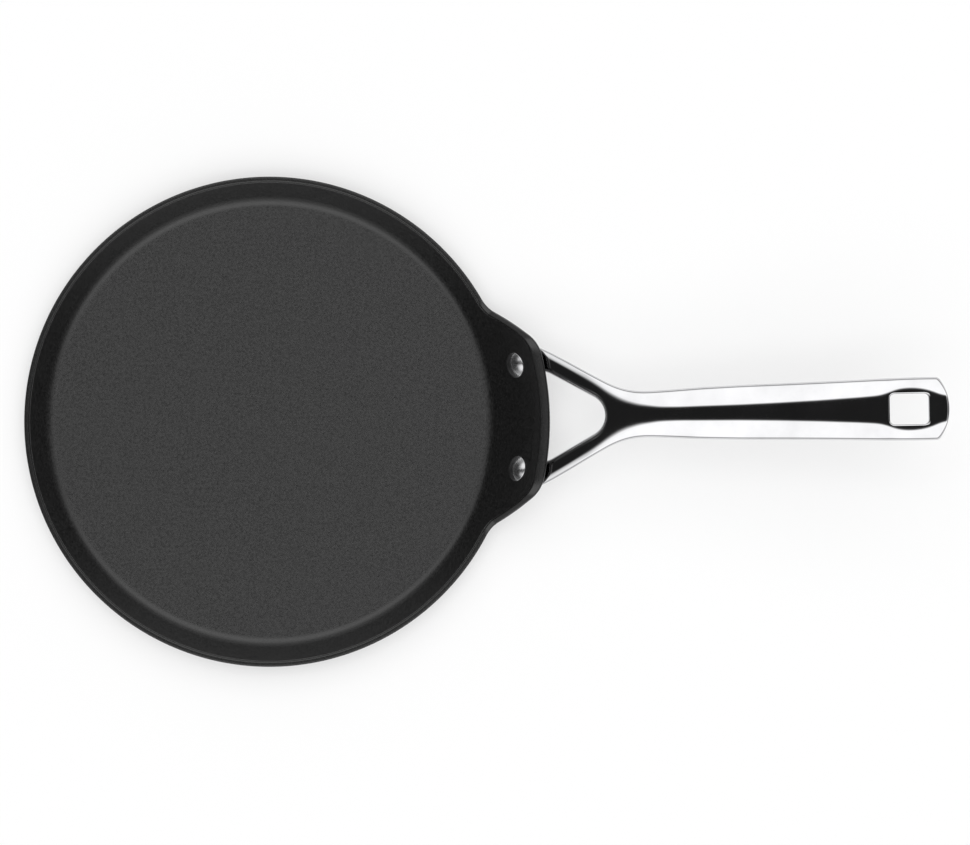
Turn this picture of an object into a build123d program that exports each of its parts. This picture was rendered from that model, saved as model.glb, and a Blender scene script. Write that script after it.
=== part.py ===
from build123d import *
import os
from math import asin, atan2, cos, degrees, radians, sin, tan

# A crepe pan: a shallow forged aluminium body with a raised tongue at one side,
# a fork handle in cast stainless steel riveted under that tongue, a non-stick
# coating on the inside and a perforated steel plate pressed into the base.
# Z is up and the origin is the middle of the base's underside. The handle
# runs along +X. Lengths are millimetres, angles are degrees.

# Body
rim_radius = 123.0
rim_height = 15.5
base_thickness = 4.5
wall = 2.8
wall_slope = 50.0
floor_round = 8.0
base_round = 10.0
rim_outer_round = 1.1
rim_inner_round = 0.9

# Tongue, the raised part of the wall that carries the handle
tongue_reach = 17.6
tongue_corner_margin = 11.9
tongue_side_angle = 34.7
tongue_corner_round = 19.0
tongue_notch_round = 26.0
lip_width = 4.8
lip_depth = 2.5
lip_round = 1.0
lip_inner_round = 1.8

# Coating
coat = 0.25

# Induction plate
plate_radius = 95.0
plate_thickness = 0.6
peg_radius = 3.2
peg_rim_share = 0.75
peg_rings = 4
pegs_in_first_ring = 6

# Rivets
rivet_spread = 51.8
rivet_height = 22.5
rivet_shank_radius = 3.0
rivet_head_radius = 6.4
rivet_head_height = 2.6
rivet_tail_radius = 4.5
rivet_tail_height = 1.6
rivet_edge_height = 0.5

# Handle
handle_length = 213.5
handle_top = 73.0
handle_thickness = 10.0
neck_width = 23.1
grip_width = 31.1
flank_slope = 27.0
underside_inset = 2.6
pad_width = 21.0
pad_length = 25.0
pad_thickness = 4.0
pad_round = 7.0
arm_root_drop = 8.1
pad_drop = 3.0
pad_shift = 1.0
fork_inner_width = 44.6
fork_half_angle = 29.7
fork_reach = 46.1
fork_tip_round = 10.4
fork_turn_round = 14.0
end_round = 26.5
end_corner_round = 2.5
hole_length = 19.0
hole_width = 15.4
hole_corner_round = 2.4
hole_edge_round = 0.8
hole_end_margin = 10.0
channel_depth = 4.5
channel_wall = 5.0

# One overrun for every cut
overrun = 2.0 * wall

# Values that follow from the sizes above
rim_corner_radius = rim_radius + rim_outer_round * (tan(radians(90 - wall_slope / 2)) - 1)
rim_inner_radius = rim_corner_radius - wall / sin(radians(wall_slope))
handle_end = rim_radius + handle_length
tongue_radius = rim_radius + tongue_reach
peg_ring_spacing = plate_radius / (peg_rings + peg_rim_share)


# Radius of the wall's inner face at a height, moved outwards by a depth
def wall_radius(height, depth):
    rise = (height - rim_height) / tan(radians(wall_slope))
    return rim_inner_radius + rise + depth / sin(radians(wall_slope))


lip_height = rim_height + (tongue_radius - lip_width - rim_inner_radius) * tan(radians(wall_slope))
bead_height = lip_height - lip_depth
floor_corner = wall_radius(base_thickness, 0)


# Face bounded by an outline with a rounding at each of its points
def rounded_face(points, rounds):
    with BuildSketch(Plane.XZ) as face:
        with BuildLine():
            FilletPolyline(*points, radius=rounds, close=True)
        make_face()
    return face.sketch


# Outline of the wall's outer face from the axis up to a height
def outer_line(height):
    return [(0, 0), (wall_radius(0, wall), 0), (wall_radius(height, wall), height)]


# Plan of the tongue, half of it drawn and mirrored: its end, a rounded corner, a
# straight side, a hollow notch and the rest of the rim's inner circle
tongue_corner_y = rivet_spread / 2 + tongue_corner_margin
tongue_corner = Vector((tongue_radius**2 - tongue_corner_y**2) ** 0.5, tongue_corner_y)
side_normal = Vector(1, 0).rotate(Axis.Z, 90 - tongue_side_angle)
side_run = Vector(1, 0).rotate(Axis.Z, 180 - tongue_side_angle)
side_offset = tongue_corner.dot(side_normal)
corner_offset = side_offset - tongue_corner_round
corner_run = ((tongue_radius - tongue_corner_round) ** 2 - corner_offset**2) ** 0.5
corner_centre = side_normal * corner_offset - side_run * corner_run
corner_turn = degrees(atan2(corner_centre.Y, corner_centre.X))
notch_offset = side_offset + tongue_notch_round
notch_run = ((rim_inner_radius + tongue_notch_round) ** 2 - notch_offset**2) ** 0.5
notch_centre = side_normal * notch_offset - side_run * notch_run
notch_turn = degrees(atan2(notch_centre.Y, notch_centre.X))
normal_turn = 90 - tongue_side_angle
with BuildSketch() as tongue_plan:
    with BuildLine():
        CenterArc((0, 0), tongue_radius, 0, corner_turn)
        CenterArc(corner_centre, tongue_corner_round, corner_turn, normal_turn - corner_turn)
        Line(
            corner_centre + side_normal * tongue_corner_round,
            notch_centre - side_normal * tongue_notch_round,
        )
        CenterArc(notch_centre, tongue_notch_round, normal_turn - 180, notch_turn - normal_turn)
        CenterArc((0, 0), rim_inner_radius, notch_turn, 180 - notch_turn)
        mirror(about=Plane.XZ)
    make_face()

# Planes of the two rivets, on the wall's inner face and facing into the pan,
# with their own X pointing up the wall
rivet_radius = wall_radius(rivet_height, 0)
rivet_angle = degrees(asin(rivet_spread / 2 / rivet_radius))
rivet_middle = Plane(
    origin=(rivet_radius, 0, rivet_height),
    x_dir=Vector(1, 0, 0).rotate(Axis.Y, -wall_slope),
    z_dir=Vector(0, 0, 1).rotate(Axis.Y, -wall_slope),
)
rivet_planes = {
    "rivet_left": Plane(Location((0, 0, 0), (0, 0, rivet_angle)) * rivet_middle.location),
    "rivet_right": Plane(Location((0, 0, 0), (0, 0, -rivet_angle)) * rivet_middle.location),
}
grip_depth = wall + pad_thickness

# Places of the pegs that hold the base plate, ring by ring
peg_places = []
for ring in range(1, peg_rings + 1):
    with PolarLocations(peg_ring_spacing * ring, pegs_in_first_ring * ring) as ring_places:
        peg_places += ring_places.locations

# Tongue, with its lip, as a band of the wall cut to the half of the plan that is
# on the handle's side
band_foot = base_thickness + floor_round
tongue_outline = [
    (wall_radius(band_foot, wall), band_foot),
    (wall_radius(bead_height, wall), bead_height),
    (tongue_radius, bead_height),
    (tongue_radius, lip_height),
    (tongue_radius - lip_width, lip_height),
    (wall_radius(band_foot, 0), band_foot),
]
with BuildPart() as tongue:
    add(rounded_face(tongue_outline, [0, 0, lip_round, lip_round, lip_inner_round, 0]))
    revolve(axis=Axis.Z)
    with BuildSketch():
        add(tongue_plan.sketch)
        handle_side = (Align.MIN, Align.CENTER)
        Rectangle(tongue_radius, 2 * tongue_radius, align=handle_side, mode=Mode.INTERSECT)
    extrude(amount=lip_height, mode=Mode.INTERSECT)

# Pan body, with the recess and pegs for the plate and the rivet holes
bowl_outline = outer_line(rim_height) + [
    (rim_inner_radius, rim_height),
    (floor_corner, base_thickness),
    (0, base_thickness),
]
with BuildPart() as pan_body:
    add(rounded_face(bowl_outline, [0, base_round, rim_outer_round, rim_inner_round, floor_round, 0]))
    revolve(axis=Axis.Z)
    add(tongue.part)
    with BuildSketch():
        Circle(plate_radius)
        with Locations(*peg_places):
            Circle(peg_radius, mode=Mode.SUBTRACT)
    extrude(amount=plate_thickness, mode=Mode.SUBTRACT)
    with BuildSketch(*rivet_planes.values()):
        Circle(rivet_shank_radius)
    extrude(amount=overrun, both=True, mode=Mode.SUBTRACT)

# Induction plate, pressed into the recess so that the pegs fill its holes
with BuildPart() as induction_plate:
    with BuildSketch():
        Circle(plate_radius)
        with Locations(*peg_places):
            Circle(peg_radius, mode=Mode.SUBTRACT)
    extrude(amount=plate_thickness)


# Non-stick coating over the floor, the wall and the tongue: a band one coat
# deep that stops where the metal's inner edges start to round
coat_top = lip_height - lip_inner_round * tan(radians(wall_slope / 2)) * sin(radians(wall_slope))
coat_edge = rim_inner_round * tan(radians(wall_slope / 2)) * cos(radians(wall_slope))
coating_outline = [
    (0, base_thickness),
    (floor_corner, base_thickness),
    (wall_radius(coat_top, 0), coat_top),
    (wall_radius(coat_top, -coat), coat_top),
    (wall_radius(base_thickness + coat, -coat), base_thickness + coat),
    (0, base_thickness + coat),
]
with BuildPart() as nonstick_coating:
    add(rounded_face(coating_outline, [0, floor_round, 0, 0, floor_round - coat, 0]))
    revolve(axis=Axis.Z)
    with BuildSketch():
        add(tongue_plan.sketch)
        offset(amount=-coat_edge)
    extrude(amount=lip_height, mode=Mode.INTERSECT)
    with BuildSketch(*rivet_planes.values()):
        Circle(rivet_shank_radius)
    extrude(amount=overrun, both=True, mode=Mode.SUBTRACT)

# Stations along the handle in three stretches: the fork, the grip and the hood
# round the hanging hole. Each station has the share of its stretch's length, of
# the fork's flare, of the grip's swell, of the half width that is flat on top, of
# the climb to the handle's end and of the full thickness
fork_shares = [
    (0.174, 1.000, 0.00, 0.890, 0.000, 0.40),
    (0.477, 0.703, 0.00, 0.872, 0.153, 0.50),
    (0.803, 0.359, 0.00, 0.824, 0.319, 0.65),
    (1.020, 0.149, 0.00, 0.737, 0.404, 0.80),
    (1.193, 0.038, 0.00, 0.607, 0.464, 0.90),
    (1.410, 0.000, 0.00, 0.410, 0.521, 0.95),
]
grip_shares = [
    (0.244, 0.000, 0.30, 0.275, 0.634, 0.95),
    (0.605, 0.000, 0.57, 0.320, 0.766, 1.00),
    (0.921, 0.000, 0.78, 0.410, 0.872, 1.00),
]
hood_shares = [
    (0.138, 0.000, 0.89, 0.480, 0.915, 0.90),
    (0.350, 0.000, 0.96, 0.630, 0.936, 0.85),
    (0.615, 0.000, 1.00, 0.658, 0.962, 0.80),
    (0.828, 0.000, 1.00, 0.530, 0.981, 0.80),
    (1.013, 0.000, 0.99, 0.347, 1.000, 0.80),
]
neck_place = rim_radius + fork_reach * fork_shares[-1][0]
hood_length = hole_length + 2 * hole_end_margin
grip_length = handle_end - hood_length - neck_place
fork_half_width = (rivet_spread + pad_width) / 2
side_height_share = 0.45
arm_root_height = lip_height - arm_root_drop


# Place, half width, half flat, top height and thickness at the stations of a stretch
def station_sizes(start, length, shares):
    sizes = []
    for length_share, flare, swell, flat, climb, thick in shares:
        half = neck_width / 2 + flare * (fork_half_width - neck_width / 2)
        half += swell * (grip_width - neck_width) / 2
        top = arm_root_height + climb * (handle_top - arm_root_height)
        place = start + length_share * length
        sizes.append((place, half, flat * half, top, thick * handle_thickness))
    return sizes


# Section across the handle: flat top, sloping flanks, short sides and a narrower underside
def station_face(place, half, flat, top, thick):
    edge = top - (half - flat) * tan(radians(flank_slope))
    side = edge - (edge - top + thick) * side_height_share
    with BuildSketch(Plane.YZ.offset(place)) as face:
        with BuildLine():
            Polyline(
                (flat, top),
                (half, edge),
                (half, side),
                (half - underside_inset, top - thick),
                (underside_inset - half, top - thick),
                (-half, side),
                (-half, edge),
                (-flat, top),
                close=True,
            )
        make_face()
    return face.sketch


fork_stations = station_sizes(rim_radius, fork_reach, fork_shares)
grip_stations = station_sizes(neck_place, grip_length, grip_shares)
hood_stations = station_sizes(handle_end - hood_length, hood_length, hood_shares)
with BuildPart() as paddle:
    for station in fork_stations + grip_stations + hood_stations:
        add(station_face(*station))
    loft()

# Hollow along the underside of the grip, one wall in from the sides
with BuildPart() as grip_hollow:
    for place, half, flat, top, thick in grip_stations:
        middle_height = top - thick + (channel_depth - overrun) / 2
        with BuildSketch(Plane.YZ.offset(place)):
            with Locations((0, middle_height)):
                Rectangle(2 * (half - channel_wall), channel_depth + overrun)
    loft()

# Gap between the arms, open towards the pan and round at its tip
fork_tip = rim_radius + fork_reach
gap_tip = fork_tip + fork_tip_round * (1 / sin(radians(fork_half_angle)) - 1)
gap_turn = gap_tip - fork_inner_width / 2 / tan(radians(fork_half_angle))
gap_rounds = [0, fork_turn_round, fork_tip_round, fork_turn_round, 0]
with BuildPart() as fork_gap:
    with BuildSketch():
        with BuildLine():
            FilletPolyline(
                (0, fork_inner_width / 2),
                (gap_turn, fork_inner_width / 2),
                (gap_tip, 0),
                (gap_turn, -fork_inner_width / 2),
                (0, -fork_inner_width / 2),
                radius=gap_rounds,
                close=True,
            )
        make_face()
    extrude(amount=handle_top)

# Plan of the handle's end: an arc across the grip with rounded corners
with BuildPart() as handle_plan:
    with BuildSketch():
        with Locations((handle_end - end_round, 0)):
            Circle(end_round)
            Rectangle(2 * end_round, grip_width, mode=Mode.INTERSECT)
        fillet(vertices().group_by(Axis.X)[-1], end_corner_round)
        with Locations((handle_end - end_round, 0)):
            Rectangle(2 * handle_length, 2 * fork_half_width, align=(Align.MAX, Align.CENTER))
    extrude(amount=handle_top + overrun)

# Space that the pan takes up, which the handle leaves free
pan_space_outline = outer_line(bead_height) + [
    (tongue_radius, bead_height),
    (tongue_radius, handle_top),
    (0, handle_top),
]
with BuildPart() as pan_space:
    add(rounded_face(pan_space_outline, [0] * len(pan_space_outline)))
    revolve(axis=Axis.Z)

# Pads that lie on the wall under the lip, cut from a band that follows the wall
pad_top = bead_height - pad_drop
pad_foot = overrun
with BuildPart() as pads:
    for plane in rivet_planes.values():
        with BuildSketch(plane):
            with Locations((pad_shift, 0)):
                RectangleRounded(pad_length, pad_width, pad_round)
    extrude(amount=-grip_depth - overrun)
    pad_outline = [
        (wall_radius(pad_foot, wall), pad_foot),
        (wall_radius(pad_foot, grip_depth), pad_foot),
        (wall_radius(pad_top, grip_depth), pad_top),
        (wall_radius(pad_top, wall), pad_top),
    ]
    add(rounded_face(pad_outline, [0] * len(pad_outline)))
    revolve(axis=Axis.Z, mode=Mode.INTERSECT)

# Handle: arms and grip joined to the pads, with the hanging hole near its end
hole_place = handle_end - hole_end_margin - hole_length / 2
with BuildPart() as handle:
    add(paddle.part)
    add(handle_plan.part, mode=Mode.INTERSECT)
    add(fork_gap.part, mode=Mode.SUBTRACT)
    add(grip_hollow.part, mode=Mode.SUBTRACT)
    add(pads.part)
    add(pan_space.part, mode=Mode.SUBTRACT)
    with BuildSketch():
        with Locations((hole_place, 0)):
            RectangleRounded(hole_length, hole_width, hole_corner_round)
    extrude(amount=handle_top + overrun, mode=Mode.SUBTRACT)
    hole_rims = handle.edges(Select.LAST).filter_by(GeomType.BSPLINE)
    fillet(hole_rims.filter_by(lambda rim: rim.length > hole_edge_round), hole_edge_round)
    with BuildSketch(*rivet_planes.values()):
        Circle(rivet_shank_radius)
    extrude(amount=-grip_depth - overrun, mode=Mode.SUBTRACT)


# Rounded end of a rivet, an arc about the axis from its middle to its edge
def rivet_cap(place, edge_radius, height, turn):
    cap_radius = (edge_radius**2 + height**2) / (2 * height)
    cap_angle = degrees(asin(edge_radius / cap_radius))
    centre = place - cap_radius if turn == 0 else place + cap_radius
    return CenterArc((centre, 0), cap_radius, turn, cap_angle if turn == 0 else -cap_angle)


# Section of a rivet from its flattened tail to its domed head, drawn out from the axis
def rivet_face(plane):
    buried = wall / 2
    with BuildSketch(Plane(origin=plane.origin, x_dir=plane.z_dir, z_dir=plane.y_dir)) as face:
        with BuildLine():
            tail = rivet_cap(
                -grip_depth - rivet_tail_height,
                rivet_tail_radius,
                rivet_tail_height - rivet_edge_height,
                180,
            )
            head = rivet_cap(
                coat + rivet_head_height,
                rivet_head_radius,
                rivet_head_height - rivet_edge_height,
                0,
            )
            Polyline(
                tail @ 1,
                (buried - grip_depth, rivet_tail_radius),
                (buried - grip_depth, rivet_shank_radius),
                (-buried, rivet_shank_radius),
                (-buried, rivet_head_radius),
                head @ 1,
            )
            Line(head @ 0, tail @ 0)
        make_face()
    return face.sketch


# Rivets, seated on the coating inside and on the pad outside
rivets = {}
for rivet_name, plane in rivet_planes.items():
    with BuildPart() as rivet:
        add(rivet_face(plane))
        revolve(axis=Axis(plane.origin, plane.z_dir))
        for neighbour in (pan_body, nonstick_coating, handle):
            add(neighbour.part, mode=Mode.SUBTRACT)
    rivets[rivet_name] = rivet

pieces = {
    "pan_body": pan_body,
    "nonstick_coating": nonstick_coating,
    "induction_plate": induction_plate,
    "handle": handle,
    **rivets,
}
os.makedirs("parts", exist_ok=True)
for piece_name, piece in pieces.items():
    piece.part.label = piece_name
    export_step(piece.part, f"parts/{piece_name}.step")
    print(piece_name, round(piece.part.volume), "cubic millimetres")
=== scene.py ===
import bmesh
import bpy
import numpy as np
from math import acos, asin, atan, atan2, cos, degrees, pi, radians, sin, tan
from mathutils import Matrix, Vector
from mathutils.geometry import delaunay_2d_cdt


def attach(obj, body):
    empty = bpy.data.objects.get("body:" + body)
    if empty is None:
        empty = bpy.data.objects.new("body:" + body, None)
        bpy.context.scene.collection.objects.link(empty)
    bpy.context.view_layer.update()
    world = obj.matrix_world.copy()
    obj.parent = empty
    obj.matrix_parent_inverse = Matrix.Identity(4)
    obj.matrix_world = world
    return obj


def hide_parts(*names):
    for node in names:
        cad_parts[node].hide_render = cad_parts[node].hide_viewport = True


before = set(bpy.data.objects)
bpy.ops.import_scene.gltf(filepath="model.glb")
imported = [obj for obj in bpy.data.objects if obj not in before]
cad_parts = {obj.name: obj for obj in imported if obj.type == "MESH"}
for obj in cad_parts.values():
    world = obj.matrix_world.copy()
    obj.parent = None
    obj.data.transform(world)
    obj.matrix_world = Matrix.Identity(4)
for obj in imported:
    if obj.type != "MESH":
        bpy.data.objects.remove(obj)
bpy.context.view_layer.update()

mm = 0.001   # the sizes below are millimetres, Blender works in metres


def smoothStep(low, high, value):
    share = np.clip((value - low) / (high - low), 0.0, 1.0)
    return share * share * (3.0 - 2.0 * share)


def arcPoints(centre, radius, start, end, step):
    count = max(2, int(abs(radians(end - start)) * radius / step) + 1)
    turns = np.radians(np.linspace(start, end, count))
    return np.column_stack([centre[0] + radius * np.cos(turns), centre[1] + radius * np.sin(turns)])


# a polyline with an arc at each corner; a rounding takes at most this share of a run
def roundCorners(points, rounds, steps, share=0.48):
    points = [np.array(p, float) for p in points]
    made = [points[0]]
    for i in range(1, len(points) - 1):
        before, here, after = points[i - 1], points[i], points[i + 1]
        if rounds[i] == 0:
            made.append(here)
            continue
        lengthIn, lengthOut = np.linalg.norm(before - here), np.linalg.norm(after - here)
        toBefore, toAfter = (before - here) / lengthIn, (after - here) / lengthOut
        half = acos(np.clip(np.dot(toBefore, toAfter), -1.0, 1.0)) / 2
        reach = min(rounds[i] / tan(half), share * lengthIn, share * lengthOut)
        radius = reach * tan(half)
        middle = toBefore + toAfter
        centre = here + middle / np.linalg.norm(middle) * radius / sin(half)
        start, end = here + toBefore * reach, here + toAfter * reach
        startTurn = atan2(*(start - centre)[::-1])
        sweep = atan2(*(end - centre)[::-1]) - startTurn
        sweep = (sweep + pi) % (2 * pi) - pi
        for part in np.linspace(0.0, 1.0, steps + 1):
            turn = startTurn + sweep * part
            made.append(centre + radius * np.array([cos(turn), sin(turn)]))
    made.append(points[-1])
    return np.array(made)


# faces between neighbouring rows of points
def gridFaces(rows, columns, closed):
    faces = []
    for i in range(rows if closed else rows - 1):
        j = (i + 1) % rows
        for k in range(columns - 1):
            faces.append((i * columns + k, j * columns + k, j * columns + k + 1, i * columns + k + 1))
    return faces


# smooth shading with sharp edges by angle, then the material, the body, and the CAD node's part hidden
def finishPiece(piece, material, node, sharp):
    mesh = piece.data
    mesh.polygons.foreach_set("use_smooth", [True] * len(mesh.polygons))
    mesh.set_sharp_from_angle(angle=radians(sharp))
    mesh.materials.clear()
    mesh.materials.append(material)
    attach(piece, "root")
    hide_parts(node)


# a piece from points in millimetres: doubles merged and faces outwards
def makePiece(name, verts, faces, material, node, sharp):
    mesh = bpy.data.meshes.new(name)
    mesh.from_pydata([tuple(c * mm for c in v) for v in verts], [], faces)
    work = bmesh.new()
    work.from_mesh(mesh)
    bmesh.ops.remove_doubles(work, verts=work.verts, dist=0.002 * mm)
    bmesh.ops.dissolve_degenerate(work, edges=work.edges, dist=0.0001 * mm)
    bmesh.ops.recalc_face_normals(work, faces=work.faces)
    openEdges = sum(1 for e in work.edges if not e.is_manifold)
    work.to_mesh(mesh)
    work.free()
    piece = bpy.data.objects.new(name, mesh)
    bpy.context.scene.collection.objects.link(piece)
    finishPiece(piece, material, node, sharp)
    print(name, len(mesh.polygons), "faces,", openEdges, "open edges")


# helpers for node trees
def newTree(kind, name, inputs, outputs):
    tree = bpy.data.node_groups.new(name, kind)
    for label, socketKind, value in inputs:
        socket = tree.interface.new_socket(label, in_out="INPUT", socket_type=socketKind)
        socket.default_value = value
    for label, socketKind in outputs:
        tree.interface.new_socket(label, in_out="OUTPUT", socket_type=socketKind)
    return tree, tree.nodes.new("NodeGroupInput"), tree.nodes.new("NodeGroupOutput")


def addNode(tree, kind, inputs=None, **settings):
    node = tree.nodes.new(kind)
    for key, value in settings.items():
        setattr(node, key, value)
    for key, value in (inputs or {}).items():
        if isinstance(value, bpy.types.NodeSocket):
            tree.links.new(value, node.inputs[key])
        else:
            node.inputs[key].default_value = value
    return node


def addMath(tree, operation, a, b=0.5, c=None):
    inputs = {0: a, 1: b} if c is None else {0: a, 1: b, 2: c}
    return addNode(tree, "ShaderNodeMath", inputs, operation=operation).outputs[0]


def addRange(tree, value, low, high, toLow, toHigh):
    inputs = {"Value": value, "From Min": low, "From Max": high, "To Min": toLow, "To Max": toHigh}
    return addNode(tree, "ShaderNodeMapRange", inputs).outputs[0]


def addSmooth(tree, value, low, high):
    inputs = {"Value": value, "From Min": low, "From Max": high}
    return addNode(tree, "ShaderNodeMapRange", inputs, interpolation_type="SMOOTHSTEP").outputs[0]


# blend of two numbers: a where the factor is 0, b where it is 1
def addBlend(tree, factor, a, b):
    gap = addMath(tree, "SUBTRACT", b, a)
    return addMath(tree, "MULTIPLY_ADD", gap, factor, a)


# blend of two colours; a colour Mix node has them at sockets 6 and 7
def addMix(tree, factor, a, b):
    return addNode(tree, "ShaderNodeMix", {0: factor, 6: a, 7: b}, data_type="RGBA").outputs[2]


# the stretches of noise that the masks take from 0 to 1, and the marks' own values
marks = {
    "even": (0.3, 0.7), "grain": (0.34, 0.66), "scratch": (0.58, 0.74),
    "dotReach": 0.55, "dotShare": 0.4, "scratchTurns": (0.12, -0.35),
}


# fine speckle and soft clouds, as sprayed coatings have
def makeSpeckleGroup():
    tree, given, out = newTree(
        "ShaderNodeTree", "sprayedSpeckle",
        [("Vector", "NodeSocketVector", (0, 0, 0)), ("Grain Scale", "NodeSocketFloat", 1500.0),
         ("Cloud Scale", "NodeSocketFloat", 60.0)],
        [("Speckle", "NodeSocketFloat"), ("Cloud", "NodeSocketFloat"), ("Height", "NodeSocketFloat")],
    )
    place, grainScale, cloudScale = given.outputs[0], given.outputs[1], given.outputs[2]
    grain = addNode(tree, "ShaderNodeTexNoise",
                    {"Vector": place, "Scale": grainScale, "Detail": 2.0, "Roughness": 0.6})
    dots = addNode(tree, "ShaderNodeTexVoronoi", {"Vector": place, "Scale": grainScale})
    cloud = addNode(tree, "ShaderNodeTexNoise",
                    {"Vector": place, "Scale": cloudScale, "Detail": 4.0, "Roughness": 0.55})
    speckle = addRange(tree, grain.outputs[0], *marks["grain"], 0.0, 1.0)
    dot = addRange(tree, dots.outputs[0], 0.0, marks["dotReach"], 1.0, 0.0)
    tree.links.new(speckle, out.inputs["Speckle"])
    tree.links.new(addRange(tree, cloud.outputs[0], *marks["even"], 0.0, 1.0), out.inputs["Cloud"])
    tree.links.new(addMath(tree, "MULTIPLY_ADD", dot, marks["dotShare"], speckle), out.inputs["Height"])
    return tree


# hairline scratches in two crossing directions and polishing haze
def makePolishGroup():
    tree, given, out = newTree(
        "ShaderNodeTree", "polishMarks",
        [("Vector", "NodeSocketVector", (0, 0, 0)), ("Scale", "NodeSocketFloat", 60.0),
         ("Stretch", "NodeSocketFloat", 30.0)],
        [("Scratch", "NodeSocketFloat"), ("Haze", "NodeSocketFloat")],
    )
    place, scale, stretch = given.outputs[0], given.outputs[1], given.outputs[2]
    masks = []
    for turn in marks["scratchTurns"]:
        turned = addNode(tree, "ShaderNodeVectorRotate", {"Vector": place, "Angle": turn},
                         rotation_type="Z_AXIS")
        across = addNode(tree, "ShaderNodeCombineXYZ", {0: 1.0, 1: stretch, 2: stretch})
        drawn = addNode(tree, "ShaderNodeVectorMath", {0: turned.outputs[0], 1: across.outputs[0]},
                        operation="MULTIPLY")
        noise = addNode(tree, "ShaderNodeTexNoise",
                        {"Vector": drawn.outputs[0], "Scale": scale, "Detail": 3.0, "Roughness": 0.7})
        masks.append(addRange(tree, noise.outputs[0], *marks["scratch"], 0.0, 1.0))
    haze = addNode(tree, "ShaderNodeTexNoise", {"Vector": place, "Scale": scale, "Detail": 3.0})
    tree.links.new(addMath(tree, "MAXIMUM", masks[0], masks[1]), out.inputs["Scratch"])
    tree.links.new(addRange(tree, haze.outputs[0], *marks["even"], 0.0, 1.0), out.inputs["Haze"])
    return tree


# turning marks: rings round Z with a little variation
def makeTurnedGroup():
    tree, given, out = newTree(
        "ShaderNodeTree", "turnedRings",
        [("Vector", "NodeSocketVector", (0, 0, 0)), ("Rings Per Metre", "NodeSocketFloat", 2500.0)],
        [("Rings", "NodeSocketFloat")],
    )
    x, y, _ = addNode(tree, "ShaderNodeSeparateXYZ", {0: given.outputs[0]}).outputs
    square = addMath(tree, "MULTIPLY_ADD", y, y, addMath(tree, "MULTIPLY", x, x))
    radius = addMath(tree, "SQRT", square)
    outwards = addNode(tree, "ShaderNodeCombineXYZ",
                       {0: addMath(tree, "MULTIPLY", radius, given.outputs[1]), 1: 0.0, 2: 0.0})
    noise = addNode(tree, "ShaderNodeTexNoise",
                    {"Vector": outwards.outputs[0], "Scale": 1.0, "Detail": 3.0})
    tree.links.new(addRange(tree, noise.outputs[0], *marks["even"], 0.0, 1.0), out.inputs["Rings"])
    return tree


speckleGroup = makeSpeckleGroup()
polishGroup = makePolishGroup()
turnedGroup = makeTurnedGroup()


def newMaterial(name):
    material = bpy.data.materials.new(name)
    material.use_nodes = True
    tree = material.node_tree
    shader = tree.nodes["Principled BSDF"]
    place = tree.nodes.new("ShaderNodeTexCoord").outputs["Object"]
    return material, tree, shader, place


def placeGroup(tree, group, inputs):
    return addNode(tree, "ShaderNodeGroup", inputs, node_tree=group)


def addBump(tree, shader, values, height):
    bump = addNode(tree, "ShaderNodeBump",
                   {"Strength": values["bump"], "Distance": values["bumpDepth"], "Height": height})
    tree.links.new(bump.outputs[0], shader.inputs["Normal"])


def makeSprayed(name, values):
    material, tree, shader, place = newMaterial(name)
    spray = placeGroup(tree, speckleGroup, {
        "Vector": place, "Grain Scale": values["grainScale"], "Cloud Scale": values["cloudScale"]})
    tint = addMix(tree, spray.outputs["Speckle"], values["dark"], values["light"])
    clouds = addMath(tree, "MULTIPLY", spray.outputs["Cloud"], values["cloudShare"])
    tree.links.new(addMix(tree, clouds, tint, values["cloud"]), shader.inputs["Base Color"])
    rough = addRange(tree, spray.outputs["Speckle"], 0.0, 1.0, *values["rough"])
    tree.links.new(rough, shader.inputs["Roughness"])
    addBump(tree, shader, values, spray.outputs["Height"])
    shader.inputs["Specular IOR Level"].default_value = values["specular"]
    return material


coating = {
    "dark": (0.001, 0.001, 0.001, 1), "light": (0.011, 0.011, 0.011, 1),
    "cloud": (0.006, 0.006, 0.006, 1), "grainScale": 800.0, "cloudScale": 28.0, "cloudShare": 0.5,
    "rough": (0.33, 0.45), "bump": 0.35, "bumpDepth": 0.00006, "specular": 0.84,
}
outside = {
    "dark": (0.005, 0.005, 0.005, 1), "light": (0.010, 0.010, 0.010, 1),
    "cloud": (0.008, 0.008, 0.008, 1), "grainScale": 2600.0, "cloudScale": 40.0, "cloudShare": 0.4,
    "rough": (0.20, 0.28), "bump": 0.2, "bumpDepth": 0.00003, "specular": 0.6,
}
coatingMaterial = makeSprayed("nonstickBlack", coating)
outsideMaterial = makeSprayed("satinBlack", outside)


def makeSteel(name, values):
    material, tree, shader, place = newMaterial(name)
    polish = placeGroup(tree, polishGroup,
                        {"Vector": place, "Scale": values["scale"], "Stretch": values["stretch"]})
    mask = polish.outputs["Scratch"]
    if "rings" in values:
        turned = placeGroup(tree, turnedGroup, {"Vector": place, "Rings Per Metre": values["rings"]})
        mask = turned.outputs["Rings"]
    haze = polish.outputs["Haze"]
    tree.links.new(addMix(tree, haze, values["dark"], values["light"]), shader.inputs["Base Color"])
    hazed = addRange(tree, haze, 0.0, 1.0, *values["rough"])
    rough = addMath(tree, "MULTIPLY_ADD", mask, values["scratchRough"], hazed)
    tree.links.new(rough, shader.inputs["Roughness"])
    addBump(tree, shader, values, mask)
    shader.inputs["Metallic"].default_value = 1.0
    return material


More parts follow.
